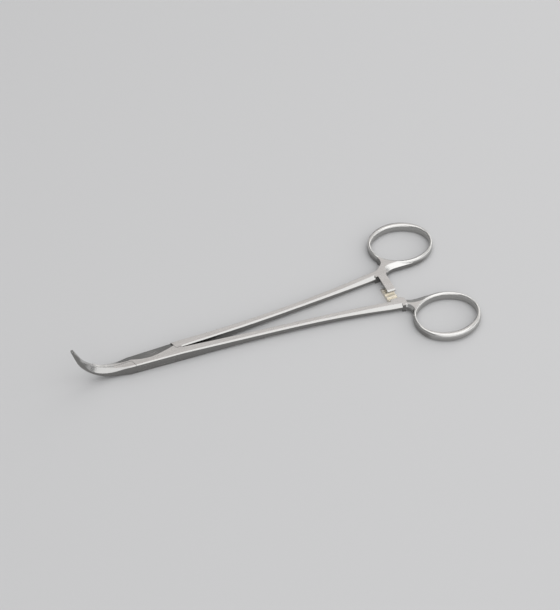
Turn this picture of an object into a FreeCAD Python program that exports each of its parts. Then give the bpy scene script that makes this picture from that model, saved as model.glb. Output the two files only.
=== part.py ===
import FreeCAD, Part
import math
import os

# Curved box-lock haemostatic forceps: two interlocked halves on one rivet.
# Frame: the pivot axis is the Z axis, the underside of the box lock is z = 0,
# +X points to the finger rings, and the jaws curve up towards +Z.
# The female half has its ring on the -Y side, the male half on the +Y side.
# Lengths are in millimetres and angles in degrees.

V = FreeCAD.Vector

# Box lock: half width at the pivot, and its growth per length towards the rings
BOX_THICKNESS = 5.2
BOX_HALF_WIDTH = 3.65
BOX_TAPER = 0.029
CHEEK_THICKNESS = 1.6
LOCK_TIP_X = 10.0
JAW_LOCK_TIP_X = 10.7
LOCK_LEAN = 0.4
SHANK_ROOT_X = 12.5
JAW_ROOT_X = 12.0
SIDE_CHAMFER = 0.45

# Ground flank of the female half: an S-shaped edge on the cheek, sloping down to the side.
# On the underside it starts further out, clear of the rivet.
FLANK_EDGE_Y = 0.5
FLANK_WAVE = 2.25
FLANK_WAVE_POWER = 0.8
FLANK_RISE = 1.3
FLANK_RISE_POWER = 4
FLANK_DROP = 0.9
UNDER_FLANK_SHIFT = 2.8

# Clearances between the halves
PARTING_GAP = 0.16
SHOULDER_GAP = 0.12
WAIST_GAP = 0.04
PIN_GAP = 0.03
TOOTH_GAP = 0.12

# Rivet
PIN_RADIUS = 1.5
PIN_HEAD_RADIUS = 2.0
PIN_HEAD_DEPTH = 0.5

# Shanks
SHANK_END_X = 107.0
SHANK_SPREAD = 4.7
SHANK_BOW = 3.1
SHANK_MID_WIDTH = 3.2
SHANK_MID_HEIGHT = 3.3
SHANK_END_WIDTH = 4.9
SHANK_MID_BEVEL = 0.6
SHANK_END_BEVEL = 1.4
SHANK_ROOT_SHARE = 0.5
SHANK_FLARE_SHARE = 0.45
INNER_BEVEL_END_X = 109.4

# Finger rings
RING_CENTRE_X = 129.5
RING_CENTRE_Y = 24.5
RING_OPENING_LENGTH = 28.0
RING_OPENING_WIDTH = 22.2
RING_TURN = -2.2
RING_END_BAND = 1.6
RING_SIDE_BAND = 2.7
RING_OUTWARD_SHIFT = 0.3
RING_HEIGHT = 4.2
RING_OUTER_ROUND = 1.9
RING_INNER_ROUND = 1.4
RING_OUTER_ROUND_SHARE = 0.53
RING_INNER_ROUND_SHARE = 0.42
RING_ROUND_STEPS = 4
OVAL_END_FLATTENING = 0.65

# Necks between shanks and rings
NECK_INNER_RADIUS = 8.0
NECK_TANGENT_X = 120.5
BLEND_INSET = 0.06
BLEND_SEARCH = 20.0
BLEND_HALVINGS = 40

# Outer corner between shank and ring: the female half has a tight corner with a hollow
# ground into it, the male half a wider one into which the bevel of the shank runs out
FEMALE_CORNER_RADIUS = 3.2
OUTER_BEVEL_END_X = 113.2
HOLLOW_START_X = 114.6
HOLLOW_WIDTH = 1.0
HOLLOW_DROP = 1.3
MALE_CORNER_RADIUS = 4.3
RUNOUT_RADIUS = 4.5
RUNOUT_X = 110.1

# Web between ratchet arm and ring, with a shallow bevel
WEB_BEVEL_START_X = 115.7
WEB_BEVEL_WIDTH = 2.6
WEB_BEVEL_DROP = 1.0
WEB_BEVEL_END_RADIUS = 1.7

# Ratchet arms and their teeth
ARM_START_X = 110.5
ARM_WIDTH = 3.9
ARM_REACH = 2.6
ARM_END_CHAMFER = 0.6
LOWER_ARM_EXTRA = 1.0
ARM_SPLIT_GAP = 0.16
TOOTH_PITCH = 2.35
TOOTH_HEIGHT = 0.85
TOOTH_COUNT = 4
TOOTH_LEAN = 0.25
TOOTH_LAND = 0.3

# Jaws
JAW_BEND_START_X = 15.5
JAW_BEND_RADIUS = 19.5
JAW_BEND_ANGLE = 71.0
JAW_TIP_LENGTH = 6.2
JAW_WIDTH = 2.95
JAW_TIP_WIDTH = 0.75
JAW_TIP_THICKNESS = 1.2
JAW_THINNING_POWER = 1.2
JAW_NECK_LENGTH = 5.0
JAW_LOWER_BEVEL = 0.8
JAW_BEVEL_LIMIT = 0.35
CRESCENT_SIZE = 1.9
CRESCENT_END_SHARE = 0.72
CRESCENT_GROWTH = 1.5
CRESCENT_FLAT = 0.2
FAR_BEVEL_END_SHARE = 0.5
SERRATION_PITCH = 0.9
SERRATION_DEPTH = 0.3
SERRATION_START_X = 15.0

MID_Z = BOX_THICKNESS / 2
RING_MID_Z = RING_HEIGHT / 2
HALF_GAP = PARTING_GAP / 2
OVERRUN = 1.0


def polygon(points):
    return Part.makePolygon(points + [points[0]])


def prism(outline, low, high):
    corners = [V(x, y, low) for x, y in outline]
    return Part.Face(polygon(corners)).extrude(V(0, 0, high - low))


def mirrored(shape):
    return shape.mirror(V(0, 0, 0), V(0, 1, 0))


def both_faces(shape, middle):
    return shape.fuse(shape.mirror(V(0, 0, middle), V(0, 0, 1)))


def ease(share):
    return max(0.0, 1.0 - share) ** 2


# Box lock: outline of the female half and the zone its cheeks cover

def edge_y(x):
    return BOX_HALF_WIDTH + BOX_TAPER * x


def lock_x(y, tip):
    return tip - LOCK_LEAN * (y + HALF_GAP)


def lock_corner(end, tip):
    taper = end * BOX_TAPER
    y = (BOX_HALF_WIDTH + taper * lock_x(0, tip)) / (1 + taper * LOCK_LEAN)
    return (end * lock_x(y, tip), end * y)


def half_outline():
    return [lock_corner(1, LOCK_TIP_X), (LOCK_TIP_X, -HALF_GAP), (SHANK_ROOT_X, -HALF_GAP),
            (SHANK_ROOT_X, -edge_y(SHANK_ROOT_X)), lock_corner(-1, JAW_LOCK_TIP_X),
            (-JAW_LOCK_TIP_X, HALF_GAP), (-JAW_ROOT_X, HALF_GAP), (-JAW_ROOT_X, edge_y(-JAW_ROOT_X))]


def cheek_zone(gap):
    reach = edge_y(SHANK_ROOT_X) + OVERRUN
    tip = LOCK_TIP_X + gap
    jaw_tip = JAW_LOCK_TIP_X + gap
    return [(lock_x(reach, tip), reach), (tip, -HALF_GAP), (tip, -reach),
            (-lock_x(reach, jaw_tip), -reach), (-jaw_tip, HALF_GAP), (-jaw_tip, reach)]


def side_chamfers(start_x, end_x, side):
    ends = []
    for x in (start_x, end_x):
        w = side * edge_y(x)
        inner = w - side * SIDE_CHAMFER
        outer = w + side * OVERRUN
        low = BOX_THICKNESS - SIDE_CHAMFER
        high = BOX_THICKNESS + OVERRUN
        ends.append(polygon([V(x, inner, BOX_THICKNESS), V(x, w, low), V(x, outer, low),
                             V(x, outer, high), V(x, inner, high)]))
    return both_faces(Part.makeLoft(ends, True, True), MID_Z)


def flank_line(x):
    share = (x + LOCK_TIP_X) / (2 * LOCK_TIP_X)
    wave = FLANK_WAVE * math.sin(math.pi * share) * (1 - share) ** FLANK_WAVE_POWER
    return FLANK_EDGE_Y - wave + FLANK_RISE * share ** FLANK_RISE_POWER


def flank_cut():
    steps = 10
    sections = []
    for number in range(steps + 1):
        x = -JAW_ROOT_X + (LOCK_TIP_X + JAW_ROOT_X) * number / steps
        inner = flank_line(max(x, -LOCK_TIP_X))
        outer = edge_y(x)
        slope = FLANK_DROP / (outer - inner)
        high = V(x, inner - OVERRUN, BOX_THICKNESS + slope * OVERRUN)
        low = V(x, outer + OVERRUN, BOX_THICKNESS - FLANK_DROP - slope * OVERRUN)
        sections.append(polygon([high, low, V(x, outer + OVERRUN, high.z)]))
    top = Part.makeLoft(sections, True, False)
    under = top.mirror(V(0, 0, MID_Z), V(0, 0, 1))
    under.translate(V(0, UNDER_FLANK_SHIFT, 0))
    return top.fuse(under)


# Rivet, and the holes that it fills or turns in

def rivet_blank():
    points = [V(0, 0, 0), V(PIN_HEAD_RADIUS, 0, 0), V(PIN_RADIUS, 0, PIN_HEAD_DEPTH),
              V(PIN_RADIUS, 0, BOX_THICKNESS - PIN_HEAD_DEPTH), V(PIN_HEAD_RADIUS, 0, BOX_THICKNESS),
              V(0, 0, BOX_THICKNESS)]
    return Part.Face(polygon(points)).revolve(V(0, 0, 0), V(0, 0, 1), 360)


def rivet():
    return rivet_blank().cut(flank_cut())


def female_box():
    body = prism(half_outline(), 0, BOX_THICKNESS)
    slot = mirrored(prism(cheek_zone(SHOULDER_GAP), CHEEK_THICKNESS, BOX_THICKNESS - CHEEK_THICKNESS))
    body = body.cut(slot)
    body = body.cut(side_chamfers(-JAW_ROOT_X, SHANK_ROOT_X, -1))
    body = body.cut(side_chamfers(-JAW_ROOT_X, LOCK_TIP_X, 1))
    body = body.cut(flank_cut())
    return body.cut(rivet_blank())


def male_box():
    outline = [(x, -y) for x, y in half_outline()]
    roots = prism(outline, 0, BOX_THICKNESS)
    roots = roots.cut(prism(cheek_zone(SHOULDER_GAP), -OVERRUN, BOX_THICKNESS + OVERRUN))
    roots = roots.cut(side_chamfers(-JAW_ROOT_X, 0, -1))
    roots = roots.cut(side_chamfers(0, SHANK_ROOT_X, 1))
    low = CHEEK_THICKNESS + WAIST_GAP
    waist = prism(outline, low, BOX_THICKNESS - low)
    hole = Part.makeCylinder(PIN_RADIUS + PIN_GAP, BOX_THICKNESS)
    return roots.fuse(waist).cut(hole)


# Shanks: bevelled bars that spread towards the rings

def shank_share(x):
    return (x - SHANK_ROOT_X) / (SHANK_END_X - SHANK_ROOT_X)


def shank_centre(share):
    root = (edge_y(SHANK_ROOT_X) + HALF_GAP) / 2
    return root + SHANK_SPREAD * share + SHANK_BOW * share ** 3


def shank_size(share, root, middle, end):
    near_root = (root - middle) * ease(share / SHANK_ROOT_SHARE)
    return middle + near_root + (end - middle) * ease((1 - share) / SHANK_FLARE_SHARE)


def shank_section(x):
    share = shank_share(x)
    centre = shank_centre(share)
    root_width = edge_y(SHANK_ROOT_X) - HALF_GAP
    half_width = shank_size(share, root_width, SHANK_MID_WIDTH, SHANK_END_WIDTH) / 2
    half_height = shank_size(share, BOX_THICKNESS, SHANK_MID_HEIGHT, RING_HEIGHT) / 2
    bevel = shank_size(share, SIDE_CHAMFER, SHANK_MID_BEVEL, SHANK_END_BEVEL)
    middle = MID_Z + (RING_MID_Z - MID_Z) * share
    w = half_width - bevel
    h = half_height - bevel
    corners = [(half_width, h), (w, half_height), (-w, half_height), (-half_width, h),
               (-half_width, -h), (-w, -half_height), (w, -half_height), (half_width, -h)]
    return polygon([V(x, centre + y, middle + z) for y, z in corners])


def shank():
    steps = 10
    length = SHANK_END_X - SHANK_ROOT_X
    places = [SHANK_ROOT_X + length * number / steps for number in range(steps + 1)]
    return Part.makeLoft([shank_section(x) for x in places], True, False)


# Finger rings: an oval barrel with an oval opening, both with rounded rims

def placed_oval(half_length, half_width, z, shift=0.0):
    end_radius = half_width * (1 - OVAL_END_FLATTENING * (1 - half_width / half_length))
    offset = half_length - end_radius
    side_radius = (offset ** 2 + half_width ** 2 - end_radius ** 2) / (2 * (half_width - end_radius))
    turn = math.atan2(side_radius - half_width, offset)
    x = offset + end_radius * math.cos(turn)
    y = end_radius * math.sin(turn)
    joins = [V(x, -y, z), V(x, y, z), V(-x, y, z), V(-x, -y, z)]
    tops = [V(half_length, 0, z), V(0, half_width, z), V(-half_length, 0, z), V(0, -half_width, z)]
    arcs = [Part.Arc(joins[n], tops[n], joins[(n + 1) % 4]).toShape() for n in range(4)]
    oval = Part.Wire(arcs)
    oval.rotate(V(0, 0, 0), V(0, 0, 1), RING_TURN)
    oval.translate(V(RING_CENTRE_X, RING_CENTRE_Y + shift, 0))
    return oval


def rounded_oval(half_length, half_width, change_length, change_width, depth, shift=0.0):
    levels = []
    for number in range(RING_ROUND_STEPS + 1):
        angle = math.radians(90 * number / RING_ROUND_STEPS)
        levels.append((depth * (1 - math.cos(angle)), 1 - math.sin(angle)))
    levels = levels + [(RING_HEIGHT - z, change) for z, change in reversed(levels)]
    sections = []
    for z, change in levels:
        length = half_length + change * change_length
        width = half_width + change * change_width
        sections.append(placed_oval(length, width, z, shift))
    return Part.makeLoft(sections, True, True)


def finger_ring():
    inner_length = RING_OPENING_LENGTH / 2
    inner_width = RING_OPENING_WIDTH / 2
    outer_share = -RING_OUTER_ROUND_SHARE
    outer_width = inner_width + RING_SIDE_BAND + RING_OUTWARD_SHIFT
    barrel = rounded_oval(inner_length + RING_END_BAND, outer_width, outer_share * RING_END_BAND,
                          outer_share * RING_SIDE_BAND, RING_OUTER_ROUND, RING_OUTWARD_SHIFT)
    opening = rounded_oval(inner_length, inner_width, RING_INNER_ROUND_SHARE * RING_END_BAND,
                           RING_INNER_ROUND_SHARE * RING_SIDE_BAND, RING_INNER_ROUND)
    return barrel.cut(opening)


# Necks and ratchet blocks: a plate with bevels ground along its edges

def blend_oval():
    half_length = RING_OPENING_LENGTH / 2 + RING_END_BAND - BLEND_INSET
    half_width = RING_OPENING_WIDTH / 2 + RING_SIDE_BAND + RING_OUTWARD_SHIFT - BLEND_INSET
    return placed_oval(half_length, half_width, 0, RING_OUTWARD_SHIFT)


def blend_arc(start, direction, normal, curve, radius):
    low = 0.0
    high = BLEND_SEARCH
    for attempt in range(BLEND_HALVINGS):
        middle = (low + high) / 2
        centre = start + direction * middle + normal * radius
        if curve.distToShape(Part.Vertex(centre))[0] > radius:
            low = middle
        else:
            high = middle
    centre = start + direction * high + normal * radius
    touch = curve.distToShape(Part.Vertex(centre))[1][0][0]
    first = centre - normal * radius
    halfway = (first - centre) + (touch - centre)
    halfway.normalize()
    return first, centre + halfway * radius, touch, centre


def edge_bevel(start, direction, outward, length, width, drop):
    up = V(0, 0, 1)
    base = start + up * RING_HEIGHT
    slope = drop / width
    corners = [base - outward * (width + OVERRUN) + up * slope * OVERRUN,
               base + outward * OVERRUN - up * (drop + slope * OVERRUN),
               base + outward * OVERRUN + up * slope * OVERRUN]
    return both_faces(Part.Face(polygon(corners)).extrude(direction * length), RING_MID_Z)


def shank_end_bevel(start, direction, outward, length):
    return edge_bevel(start - direction * OVERRUN, direction, outward, length + OVERRUN,
                      SHANK_END_BEVEL, SHANK_END_BEVEL)


def arc_bevel(centre, radius, width, drop):
    slope = drop / width
    over = OVERRUN * slope
    cone = Part.makeCone(radius - OVERRUN, radius + width + OVERRUN, drop + 2 * over,
                         V(centre.x, centre.y, RING_HEIGHT - drop - over))
    return both_faces(cone, RING_MID_Z)


def band_between(start_x, end_x):
    return prism([(start_x, 0), (end_x, 0), (end_x, RING_CENTRE_Y), (start_x, RING_CENTRE_Y)],
                 -OVERRUN, RING_HEIGHT + OVERRUN)


def rounded_band(start_x, end_x, top_y, radius):
    low = -OVERRUN
    corner = V(start_x + radius, top_y - radius, low)
    diagonal = corner + V(-1, 1, 0).normalize() * radius
    edges = [Part.makeLine(V(start_x, 0, low), V(start_x, corner.y, low)),
             Part.Arc(V(start_x, corner.y, low), diagonal, V(corner.x, top_y, low)).toShape(),
             Part.makeLine(V(corner.x, top_y, low), V(end_x, top_y, low)),
             Part.makeLine(V(end_x, top_y, low), V(end_x, 0, low)),
             Part.makeLine(V(end_x, 0, low), V(start_x, 0, low))]
    return Part.Face(Part.Wire(edges)).extrude(V(0, 0, RING_HEIGHT + 2 * OVERRUN))


def shank_edge():
    slope = (SHANK_SPREAD + 3 * SHANK_BOW) / (SHANK_END_X - SHANK_ROOT_X)
    direction = V(1, slope, 0)
    direction.normalize()
    normal = V(-direction.y, direction.x, 0)
    return V(SHANK_END_X, shank_centre(1.0) + SHANK_END_WIDTH / 2, 0), direction, normal


def neck_plate(corner_radius):
    start, direction, normal = shank_edge()
    inner_start = start - V(0, SHANK_END_WIDTH, 0)
    curve = blend_oval()
    first, middle, touch, blend_centre = blend_arc(start, direction, normal, curve, corner_radius)
    bottom = curve.BoundBox.YMin
    arm_edge = ARM_START_X + ARM_WIDTH
    web_start = V(NECK_TANGENT_X, bottom, 0)
    web_centre = web_start - V(0, NECK_INNER_RADIUS, 0)
    across = arm_edge - web_centre.x
    web_end = V(arm_edge, web_centre.y + math.sqrt(NECK_INNER_RADIUS ** 2 - across ** 2), 0)
    half_turn = (web_start - web_centre) + (web_end - web_centre)
    half_turn.normalize()
    arm_corner = inner_start + direction * ((ARM_START_X - SHANK_END_X) / direction.x)
    centre = V(RING_CENTRE_X, RING_CENTRE_Y, 0)
    edges = [Part.makeLine(start, first),
             Part.Arc(first, middle, touch).toShape(),
             Part.makeLine(touch, centre),
             Part.makeLine(centre, V(RING_CENTRE_X, bottom, 0)),
             Part.makeLine(V(RING_CENTRE_X, bottom, 0), web_start),
             Part.Arc(web_start, web_centre + half_turn * NECK_INNER_RADIUS, web_end).toShape(),
             Part.makeLine(web_end, arm_corner),
             Part.makeLine(arm_corner, inner_start),
             Part.makeLine(inner_start, start)]
    plate = Part.Face(Part.Wire(edges)).extrude(V(0, 0, RING_HEIGHT))
    opening = placed_oval((RING_OPENING_LENGTH + RING_END_BAND) / 2,
                          (RING_OPENING_WIDTH + RING_SIDE_BAND) / 2, 0)
    plate = plate.cut(Part.Face(opening).extrude(V(0, 0, RING_HEIGHT)))
    inner_run = (INNER_BEVEL_END_X - SHANK_END_X) / direction.x
    plate = plate.cut(shank_end_bevel(inner_start, direction, normal * -1, inner_run))
    web_arc = arc_bevel(web_centre, NECK_INNER_RADIUS, WEB_BEVEL_WIDTH, WEB_BEVEL_DROP)
    web_top = bottom + WEB_BEVEL_WIDTH
    web_zone = rounded_band(WEB_BEVEL_START_X, NECK_TANGENT_X, web_top, WEB_BEVEL_END_RADIUS)
    plate = plate.cut(web_arc.common(web_zone))
    web_run = RING_CENTRE_X - NECK_TANGENT_X
    web_line = edge_bevel(web_start, V(1, 0, 0), V(0, -1, 0), web_run, WEB_BEVEL_WIDTH, WEB_BEVEL_DROP)
    return plate.cut(web_line), blend_centre


def female_neck():
    plate, centre = neck_plate(FEMALE_CORNER_RADIUS)
    start, direction, normal = shank_edge()
    run = (OUTER_BEVEL_END_X - SHANK_END_X) / direction.x
    plate = plate.cut(shank_end_bevel(start, direction, normal, run))
    hollow = arc_bevel(centre, FEMALE_CORNER_RADIUS, HOLLOW_WIDTH, HOLLOW_DROP)
    return plate.cut(hollow.common(band_between(HOLLOW_START_X, RING_CENTRE_X)))


def male_neck():
    plate, centre = neck_plate(MALE_CORNER_RADIUS)
    start, direction, normal = shank_edge()
    run = (RUNOUT_X - SHANK_END_X) / direction.x
    plate = plate.cut(shank_end_bevel(start, direction, normal, run))
    wall_radius = RUNOUT_RADIUS - SHANK_END_BEVEL
    runout_centre = start + direction * run + normal * wall_radius
    runout = arc_bevel(runout_centre, wall_radius, SHANK_END_BEVEL, SHANK_END_BEVEL)
    return plate.cut(runout.common(band_between(runout_centre.x - direction.y * wall_radius, RING_CENTRE_X)))


# Ratchet arms: the teeth of the lower arm point up, those of the upper arm down

def ratchet_arm(extra):
    root_y = -shank_centre(1.0) + SHANK_END_WIDTH / 2 - OVERRUN
    peak = RING_MID_Z - ARM_SPLIT_GAP / 2
    valley = peak - TOOTH_HEIGHT
    profile = [(root_y, 0), (root_y, valley)]
    last = ARM_REACH - TOOTH_COUNT * TOOTH_PITCH
    for number in range(TOOTH_COUNT):
        y = last + number * TOOTH_PITCH
        profile.append((y, valley))
        profile.append((y + TOOTH_LEAN, peak))
        profile.append((y + TOOTH_LEAN + TOOTH_LAND, peak))
    profile.append((ARM_REACH, valley))
    profile.append((ARM_REACH, ARM_END_CHAMFER))
    profile.append((ARM_REACH - ARM_END_CHAMFER, 0))
    corners = [V(ARM_START_X - extra, y, z) for y, z in profile]
    return Part.Face(polygon(corners)).extrude(V(ARM_WIDTH + extra, 0, 0))


def lower_arm():
    return ratchet_arm(LOWER_ARM_EXTRA)


def upper_arm():
    return mirrored(ratchet_arm(0).mirror(V(0, 0, RING_MID_Z), V(0, 0, 1)))


# Jaws: half bars along a path that runs straight, then curves up to the tip

def jaw_length():
    return JAW_BEND_START_X - JAW_ROOT_X + JAW_BEND_RADIUS * math.radians(JAW_BEND_ANGLE) + JAW_TIP_LENGTH


def jaw_frame(distance):
    straight = JAW_BEND_START_X - JAW_ROOT_X
    bend = JAW_BEND_RADIUS * math.radians(JAW_BEND_ANGLE)
    turn = min(max(distance - straight, 0.0), bend) / JAW_BEND_RADIUS
    along = V(-math.cos(turn), 0, math.sin(turn))
    normal = V(math.sin(turn), 0, math.cos(turn))
    point = V(-JAW_BEND_START_X, 0, MID_Z + JAW_BEND_RADIUS) - normal * JAW_BEND_RADIUS
    if distance < straight:
        point = point - along * (straight - distance)
    if distance > straight + bend:
        point = point + along * (distance - straight - bend)
    return point, along, normal


def jaw_height(distance):
    share = distance / jaw_length()
    return BOX_THICKNESS + (JAW_TIP_THICKNESS - BOX_THICKNESS) * share ** JAW_THINNING_POWER


def jaw_section(distance, side, bevel):
    share = distance / jaw_length()
    necking = distance / JAW_NECK_LENGTH
    width = JAW_WIDTH + (JAW_TIP_WIDTH - JAW_WIDTH) * share
    width = width + (edge_y(-JAW_ROOT_X) - JAW_WIDTH) * ease(necking)
    point, along, normal = jaw_frame(distance)
    half = jaw_height(distance) / 2
    parting = -SERRATION_DEPTH / 2 + TOOTH_GAP / 2
    edge = min(SIDE_CHAMFER, JAW_BEVEL_LIMIT * width)
    bevel_width, bevel_drop = bevel(share, edge)
    bevel_width = min(bevel_width, width - CRESCENT_FLAT)
    low = SIDE_CHAMFER + (JAW_LOWER_BEVEL - SIDE_CHAMFER) * min(1.0, necking)
    low = min(low, JAW_BEVEL_LIMIT * width)
    corners = [(parting, -half), (parting, half), (width - bevel_width, half), (width, half - bevel_drop),
               (width, -half + low), (width - low, -half)]
    return polygon([point + V(0, side * y, 0) + normal * z for y, z in corners])


def crescent(share, edge):
    swell = math.sin(math.pi * min(share / CRESCENT_END_SHARE, 1.0) ** CRESCENT_GROWTH)
    size = edge + (CRESCENT_SIZE - edge) * swell
    return (size, size)


def far_bevel(share, edge):
    fade = max(0.0, 1.0 - share / FAR_BEVEL_END_SHARE)
    root = edge_y(-JAW_ROOT_X) - FLANK_EDGE_Y
    return (edge + (root - edge) * fade ** 2, edge + (FLANK_DROP - edge) * fade)


def groove(distance, side, pitch):
    crest = -SERRATION_DEPTH / 2 + TOOTH_GAP / 2
    bottom = SERRATION_DEPTH / 2 + TOOTH_GAP / 2
    margin = SERRATION_DEPTH
    spread = pitch / 2 * (bottom - crest + margin) / SERRATION_DEPTH
    reach = BOX_THICKNESS / 2
    ends = []
    for height in (-reach, reach):
        corners = []
        for step, y in ((-spread, crest - margin), (spread, crest - margin), (0, bottom)):
            point, along, normal = jaw_frame(distance + step)
            corners.append(point + normal * height + V(0, side * y, 0))
        ends.append(polygon(corners))
    return Part.makeLoft(ends, True, True)


def jaw(side, bevel, phase):
    steps = 14
    length = jaw_length()
    sections = [jaw_section(length * number / steps, side, bevel) for number in range(steps + 1)]
    body = Part.makeLoft(sections, True, False)
    start = SERRATION_START_X - JAW_ROOT_X
    count = int((length - start) / SERRATION_PITCH)
    pitch = (length - start) / count
    grooves = [groove(start + (number + phase) * pitch, side, pitch) for number in range(count + 1)]
    relief = Part.makeBox(SERRATION_START_X, OVERRUN + HALF_GAP, BOX_THICKNESS + 2 * OVERRUN,
                          V(-SERRATION_START_X, -OVERRUN, -OVERRUN))
    if side < 0:
        relief = mirrored(relief)
    return body.cut(Part.makeCompound(grooves)).cut(relief)


female = female_box().fuse(mirrored(shank())).fuse(mirrored(finger_ring())).fuse(mirrored(female_neck()))
female = female.fuse(lower_arm()).fuse(jaw(1, far_bevel, 0))
male = male_box().fuse(shank()).fuse(finger_ring()).fuse(male_neck())
male = male.fuse(upper_arm()).fuse(jaw(-1, crescent, 0.5))

os.makedirs("parts", exist_ok=True)
for name, shape in (("female_half", female), ("male_half", male), ("pivot_pin", rivet())):
    shape = shape.removeSplitter()
    print(name, "valid:", shape.isValid(), "solids:", len(shape.Solids), "volume:", round(shape.Volume, 1))
    shape.exportStep("parts/" + name + ".step")
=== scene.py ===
"""Looks of the hemostat forceps: steel finishes, floor, soft light and camera.

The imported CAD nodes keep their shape. Everything is in metres, in the frame of the part:
pivot axis on Z, finger rings towards +X, jaws curving up to +Z, underside on z = 0.
"""
import math

import bpy
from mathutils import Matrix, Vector

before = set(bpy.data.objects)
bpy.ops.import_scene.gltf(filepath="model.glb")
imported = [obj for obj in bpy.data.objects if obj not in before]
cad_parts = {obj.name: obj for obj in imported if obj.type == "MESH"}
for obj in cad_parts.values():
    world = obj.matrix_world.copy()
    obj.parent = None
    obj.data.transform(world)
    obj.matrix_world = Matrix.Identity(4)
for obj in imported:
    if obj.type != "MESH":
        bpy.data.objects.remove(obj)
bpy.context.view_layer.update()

MM = 0.001

# Camera, fitted to the rings, the shanks and the box lock of the photograph
CAMERA_AZIMUTH = math.radians(-22.19)
CAMERA_ELEVATION = math.radians(45.74)
CAMERA_DISTANCE = 724.2 * MM
CAMERA_TARGET = Vector((63.63 * MM, 11.64 * MM, 0.0))
CAMERA_FOCUS_PX = 1600.0
CAMERA_CLIP_START = 0.01
IMAGE_LONG_SIDE_PX = 610.0
SENSOR_MM = 36.0

# Floor, a square of plain matt paper
FLOOR_COLOUR = (0.60, 0.60, 0.605, 1.0)
FLOOR_HALF_SIZE = 3.0
FLOOR_ROUGHNESS = 0.9
FLOOR_SPECULAR = 0.1
FLOOR_GRAIN_STRENGTH = 0.04
FLOOR_GRAIN_DEPTH = 0.1 * MM

# Studio: each softbox is (name, direction from the middle, width, height, brightness, colour)
WORLD_COLOUR = (0.34, 0.342, 0.345, 1.0)
STUDIO_MIDDLE = Vector((0.06, 0.0, 0.0))
SOFTBOX_DISTANCE = 1.2
SOFTBOXES = (
    ("top", (0.0, 0.0, 1.0), 1.7, 1.3, 1.15, (1.0, 1.0, 1.0)),
    ("back", (0.42, 0.62, 0.74), 1.5, 0.55, 0.55, (1.0, 0.985, 0.97)),
    ("front", (0.3, -0.76, 0.62), 2.8, 1.1, 0.82, (1.0, 1.0, 1.0)),
    ("right", (1.0, 0.25, 0.3), 1.3, 0.7, 0.8, (1.0, 0.99, 0.98)),
    ("back_right", (0.72, 0.62, 0.36), 0.8, 0.6, 0.5, (1.0, 0.985, 0.97)),
)

# Colours of the steel finishes, and the painted shade of the ground flank facet and the steep
# sides
BRUSHED_COLOUR = (0.60, 0.58, 0.565, 1.0)
WORN_COLOUR = (0.53, 0.51, 0.495, 1.0)
POLISHED_COLOUR = (0.66, 0.655, 0.64, 1.0)
JAW_COLOUR = (0.56, 0.555, 0.545, 1.0)
# Painted shade: darker colour on the ground flank facet, standing in for a dark reflection
FACET_PAINTED_SHADE_COLOUR = (0.42, 0.415, 0.405, 1.0)
# Painted shade: dark colour on the steep sides, standing in for reflections of dark surroundings
SIDE_PAINTED_SHADE_COLOUR = (0.26, 0.256, 0.248, 1.0)
STRAW_COLOUR = (0.93, 0.885, 0.79, 1.0)
# How much of the painted side shade the finger rings get
RING_SIDE_PAINTED_SHADE_SHARE = 0.6
STRAW_SHARE = 0.6
STRAW_CLOUD_SHARE = 0.6

# Noises: scales along X, Y and Z, detail and roughness. Scales of the steel are per millimetre
NOISE_MIDDLE = 0.5
BRUSH = ((0.05, 2.2, 2.2), 3.0, 0.6)
FINE_BRUSH = ((0.25, 14.0, 14.0), 2.0, 0.6)
CLOUDS = ((0.22, 0.22, 0.22), 3.0, 0.55)
STREAKS = ((0.2, 5.0, 1.0), 1.0, 0.5)
FLOOR_FIBRES = ((900.0, 900.0, 900.0), 2.0, 0.5)

# Grain of the steel. Scratches are the highest places of the streaks
SCRATCH_TURN = math.radians(12.0)
SCRATCH_LIMIT = 0.68
SCRATCH_CHANGE = 0.06
WEAR_CHANGE = 0.3
BEVEL_LINE_SHARE = 0.15

# Roughness of flats and of the rest, and what the grain adds to it
FLAT_ROUGHNESS = 0.3
BEVEL_ROUGHNESS = 0.17
TEETH_ROUGHNESS = 0.5
LEAST_ROUGHNESS = 0.07
LINE_ROUGHNESS = 0.2
CLOUD_ROUGHNESS = 0.12
SCRATCH_ROUGHNESS = 0.12

# Relief of the grain, and rounding of the edges
LINE_HEIGHT = 0.8
CLOUD_HEIGHT = 0.3
GRAIN_STRENGTH = 0.15
GRAIN_DEPTH = 0.02 * MM
EDGE_RADIUS = 0.15 * MM
EDGE_SAMPLES = 6
RING_EDGE_RADIUS = 0.8 * MM
RING_EDGE_SAMPLES = 8

# Which faces have a finish or painted shade, by the size of the Z or Y part of their normal
FLAT_UPWARD = 0.991
FACET_UPWARD = 0.9
UPWARD_CHANGE = 0.006
FACET_SIDEWAYS = 0.12
SIDEWAYS_CHANGE = 0.06
SIDE_UPWARD = 0.35
SIDE_CHANGE = 0.3

# Where the finishes and the painted facet shade lie, in millimetres in the frame of the part
RINGS_START_X = 117.0
RINGS_START_Y = 12.0
RINGS_CHANGE = 2.0
JAW_END_X = -11.0
JAW_CHANGE = 8.0
FACET_START_X = -18.0
FACET_END_X = 14.0
FACET_CHANGE = 3.0
TEETH_START_X = 109.0
TEETH_END_X = 115.5
TEETH_CHANGE_X = 0.3
TEETH_START_Y = -8.4
TEETH_END_Y = 3.0
TEETH_CHANGE_Y = 0.8
TEETH_TOP_Z = 2.1
TEETH_CHANGE_Z = 0.05

# Sockets of the Mix node for each kind of value: first input, second input and result
MIX_SOCKETS = {"FLOAT": (2, 3, 0), "VECTOR": (4, 5, 1), "RGBA": (6, 7, 2)}


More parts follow.
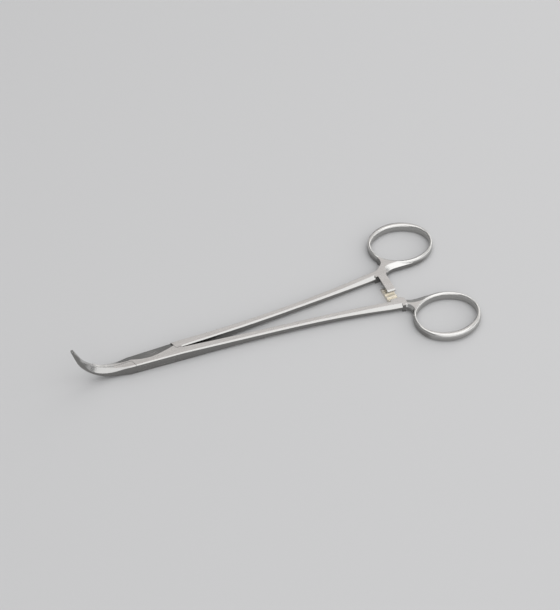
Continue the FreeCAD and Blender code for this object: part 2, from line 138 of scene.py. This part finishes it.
class Nodes:
    """A short way to add and join shader nodes."""

    def __init__(self, name):
        self.material = bpy.data.materials.new(name)
        self.material.use_nodes = True
        self.tree = self.material.node_tree
        self.shader = self.tree.nodes["Principled BSDF"]

    def add(self, kind, **settings):
        node = self.tree.nodes.new(kind)
        for key, value in settings.items():
            setattr(node, key, value)
        return node

    def put(self, value, socket):
        """Joins a socket, or sets a plain value."""
        if isinstance(value, bpy.types.NodeSocket):
            self.tree.links.new(value, socket)
        else:
            socket.default_value = value

    def math(self, operation, first, second, clamp=False):
        node = self.add("ShaderNodeMath", operation=operation, use_clamp=clamp)
        self.put(first, node.inputs[0])
        self.put(second, node.inputs[1])
        return node.outputs[0]

    def total(self, first, *others):
        for other in others:
            first = self.math("ADD", first, other)
        return first

    def product(self, first, *others):
        for other in others:
            first = self.math("MULTIPLY", first, other)
        return first

    def opposite(self, share):
        return self.math("SUBTRACT", 1.0, share)

    def size(self, value):
        """value without its sign."""
        return self.math("ABSOLUTE", value, 0.0)

    def parts(self, vector):
        """The X, Y and Z parts of vector."""
        node = self.add("ShaderNodeSeparateXYZ")
        self.put(vector, node.inputs["Vector"])
        return node.outputs["X"], node.outputs["Y"], node.outputs["Z"]

    def step(self, value, middle, width):
        """0 below middle, 1 above it, with a smooth change over width."""
        node = self.add("ShaderNodeMapRange", interpolation_type="SMOOTHSTEP")
        self.put(value, node.inputs["Value"])
        self.put(middle - width / 2, node.inputs["From Min"])
        self.put(middle + width / 2, node.inputs["From Max"])
        return node.outputs["Result"]

    def between(self, value, low, high, width):
        """1 from low to high and 0 outside, with smooth changes over width."""
        return self.math("SUBTRACT", self.step(value, low, width), self.step(value, high, width))

    def blend(self, kind, share, first, second):
        """first where share is 0, second where it is 1. kind is a key of MIX_SOCKETS."""
        first_socket, second_socket, result_socket = MIX_SOCKETS[kind]
        node = self.add("ShaderNodeMix", data_type=kind)
        self.put(share, node.inputs["Factor"])
        self.put(first, node.inputs[first_socket])
        self.put(second, node.inputs[second_socket])
        return node.outputs[result_socket]

    def noise(self, vector, scale, detail, rough):
        """Noise of 0 to 1 at vector, which is scaled first."""
        node = self.add("ShaderNodeTexNoise")
        self.put(self.scaled(vector, scale), node.inputs["Vector"])
        self.put(1.0, node.inputs["Scale"])
        self.put(detail, node.inputs["Detail"])
        self.put(rough, node.inputs["Roughness"])
        return node.outputs["Fac"]

    def scaled(self, vector, scale):
        """vector scaled along X, Y and Z."""
        node = self.add("ShaderNodeMapping")
        self.put(vector, node.inputs["Vector"])
        self.put(scale, node.inputs["Scale"])
        return node.outputs["Vector"]

    def turned(self, vector, angle):
        """vector turned about Z."""
        node = self.add("ShaderNodeVectorRotate", rotation_type="Z_AXIS")
        self.put(vector, node.inputs["Vector"])
        self.put(angle, node.inputs["Angle"])
        return node.outputs["Vector"]

    def rounded_normal(self, radius, samples):
        node = self.add("ShaderNodeBevel", samples=samples)
        self.put(radius, node.inputs["Radius"])
        return node.outputs["Normal"]

    def bump(self, height, strength, depth):
        node = self.add("ShaderNodeBump")
        self.put(height, node.inputs["Height"])
        self.put(strength, node.inputs["Strength"])
        self.put(depth, node.inputs["Distance"])
        return node


def finish_and_shade_masks(n, normal, point):
    """Shares of 0 to 1: flats, ground flank and steep sides (both with painted shade), jaws, rings
    and lower teeth.
    """
    x, y, z = n.parts(point)
    _, normal_y, normal_z = n.parts(normal)
    upward = n.size(normal_z)
    flat = n.step(upward, FLAT_UPWARD, UPWARD_CHANGE)
    # Ground flank facet, which gets painted shade
    shaded_facet = n.product(
        n.between(upward, FACET_UPWARD, FLAT_UPWARD, UPWARD_CHANGE),
        n.between(x, FACET_START_X, FACET_END_X, FACET_CHANGE),
        n.step(n.size(normal_y), FACET_SIDEWAYS, SIDEWAYS_CHANGE),
    )
    # Steep sides, which get painted shade
    shaded_side = n.opposite(n.step(upward, SIDE_UPWARD, SIDE_CHANGE))
    jaws = n.opposite(n.step(x, JAW_END_X, JAW_CHANGE))
    rings = n.product(
        n.step(x, RINGS_START_X, RINGS_CHANGE),
        n.step(n.size(y), RINGS_START_Y, RINGS_CHANGE),
    )
    teeth = n.product(
        n.between(x, TEETH_START_X, TEETH_END_X, TEETH_CHANGE_X),
        n.between(y, TEETH_START_Y, TEETH_END_Y, TEETH_CHANGE_Y),
        n.opposite(n.step(z, TEETH_TOP_Z, TEETH_CHANGE_Z)),
    )
    return flat, shaded_facet, shaded_side, jaws, rings, teeth


def steel_material(name):
    """Stainless steel: finely brushed flats, brighter polish on bevels and rounded parts, and
    painted shade on the ground flank facet and the steep sides.
    """
    n = Nodes(name)
    place = n.add("ShaderNodeTexCoord")
    point = n.scaled(place.outputs["Object"], (1 / MM, 1 / MM, 1 / MM))
    flat, shaded_facet, shaded_side, jaws, rings, teeth = finish_and_shade_masks(n, place.outputs["Normal"], point)

    # Brush lines run along the instrument, scratches a little across it
    brush = n.noise(point, *BRUSH)
    fine_brush = n.noise(point, *FINE_BRUSH)
    clouds = n.noise(point, *CLOUDS)
    streaks = n.noise(n.turned(point, SCRATCH_TURN), *STREAKS)
    scratches = n.step(streaks, SCRATCH_LIMIT, SCRATCH_CHANGE)
    line_share = n.total(BEVEL_LINE_SHARE, n.product(flat, 1.0 - BEVEL_LINE_SHARE))
    both_brushes = n.math("SUBTRACT", n.total(brush, fine_brush), 2 * NOISE_MIDDLE)
    lines = n.product(both_brushes, line_share)

    rough = n.total(
        n.blend("FLOAT", flat, BEVEL_ROUGHNESS, FLAT_ROUGHNESS),
        n.product(lines, LINE_ROUGHNESS),
        n.product(n.math("SUBTRACT", clouds, NOISE_MIDDLE), CLOUD_ROUGHNESS),
        n.product(scratches, SCRATCH_ROUGHNESS),
    )
    rough = n.math("MAXIMUM", rough, LEAST_ROUGHNESS)
    rough = n.blend("FLOAT", teeth, rough, TEETH_ROUGHNESS)
    n.put(rough, n.shader.inputs["Roughness"])

    wear = n.step(brush, NOISE_MIDDLE, WEAR_CHANGE)
    brushed = n.blend("RGBA", wear, BRUSHED_COLOUR, WORN_COLOUR)
    polished = n.blend("RGBA", jaws, POLISHED_COLOUR, JAW_COLOUR)
    colour = n.blend("RGBA", flat, polished, brushed)
    # Painted shade: the ground flank facet darkened in the base colour
    colour = n.blend("RGBA", shaded_facet, colour, FACET_PAINTED_SHADE_COLOUR)
    # Painted shade: steep sides darkened in the base colour, less on the finger rings
    side_painted_shade = n.product(shaded_side, n.blend("FLOAT", rings, 1.0, RING_SIDE_PAINTED_SHADE_SHARE))
    colour = n.blend("RGBA", side_painted_shade, colour, SIDE_PAINTED_SHADE_COLOUR)
    tint = n.total(STRAW_SHARE, n.product(clouds, STRAW_CLOUD_SHARE))
    straw = n.math("MULTIPLY", teeth, tint, clamp=True)
    colour = n.blend("RGBA", straw, colour, STRAW_COLOUR)
    n.put(colour, n.shader.inputs["Base Color"])

    # Slightly rounded edges, and wider rounding on the finger rings
    edges = n.blend(
        "VECTOR",
        rings,
        n.rounded_normal(EDGE_RADIUS, EDGE_SAMPLES),
        n.rounded_normal(RING_EDGE_RADIUS, RING_EDGE_SAMPLES),
    )
    height = n.total(n.product(lines, LINE_HEIGHT), n.product(clouds, CLOUD_HEIGHT))
    grain = n.bump(height, GRAIN_STRENGTH, GRAIN_DEPTH)
    n.put(edges, grain.inputs["Normal"])
    n.put(grain.outputs["Normal"], n.shader.inputs["Normal"])
    n.put(1.0, n.shader.inputs["Metallic"])
    return n.material


def floor_material():
    """Plain matt paper."""
    n = Nodes("floor")
    place = n.add("ShaderNodeTexCoord")
    fibres = n.noise(place.outputs["Object"], *FLOOR_FIBRES)
    grain = n.bump(fibres, FLOOR_GRAIN_STRENGTH, FLOOR_GRAIN_DEPTH)
    n.put(grain.outputs["Normal"], n.shader.inputs["Normal"])
    n.put(FLOOR_COLOUR, n.shader.inputs["Base Color"])
    n.put(FLOOR_ROUGHNESS, n.shader.inputs["Roughness"])
    n.put(FLOOR_SPECULAR, n.shader.inputs["Specular IOR Level"])
    return n.material


def add_object(name, data):
    added = bpy.data.objects.new(name, data)
    bpy.context.scene.collection.objects.link(added)
    return added


def aim(holder, middle, back, distance):
    """Puts a lamp or camera at distance from middle, in the direction back, to face middle."""
    holder.location = middle + back * distance
    holder.rotation_euler = (-back).to_track_quat("-Z", "Y").to_euler()


def add_floor():
    mesh = bpy.data.meshes.new("floor")
    s = FLOOR_HALF_SIZE
    mesh.from_pydata([(-s, -s, 0), (s, -s, 0), (s, s, 0), (-s, s, 0)], [], [(0, 1, 2, 3)])
    mesh.materials.append(floor_material())
    floor = add_object("floor", mesh)


def add_softbox(name, direction, width, height, brightness, colour):
    """A lamp as bright as a surface of that brightness, seen from the object in that direction."""
    lamp = bpy.data.lights.new(name, "AREA")
    lamp.shape = "RECTANGLE"
    lamp.size = width
    lamp.size_y = height
    lamp.energy = brightness * width * height * math.pi
    lamp.color = colour
    holder = add_object(name, lamp)
    aim(holder, STUDIO_MIDDLE, Vector(direction).normalized(), SOFTBOX_DISTANCE)


def add_light():
    world = bpy.data.worlds.new("studio")
    world.use_nodes = True
    world.node_tree.nodes["Background"].inputs["Color"].default_value = WORLD_COLOUR
    bpy.context.scene.world = world
    for softbox in SOFTBOXES:
        add_softbox(*softbox)


def add_camera():
    camera = bpy.data.cameras.new("camera")
    camera.sensor_width = SENSOR_MM
    camera.lens = CAMERA_FOCUS_PX / IMAGE_LONG_SIDE_PX * SENSOR_MM
    camera.clip_start = CAMERA_CLIP_START
    holder = add_object("camera", camera)
    level = math.cos(CAMERA_ELEVATION)
    back = Vector((
        math.sin(CAMERA_AZIMUTH) * level,
        -math.cos(CAMERA_AZIMUTH) * level,
        math.sin(CAMERA_ELEVATION),
    ))
    aim(holder, CAMERA_TARGET, back, CAMERA_DISTANCE)
    bpy.context.scene.camera = holder


def dress():
    steel = steel_material("polished_steel")
    pin = steel_material("pin_steel")
    for name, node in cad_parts.items():
        node.data.materials.clear()
        node.data.materials.append(pin if name == "pivot_pin" else steel)


dress()
add_floor()
add_light()
add_camera()
bpy.context.scene.view_settings.view_transform = "Standard"
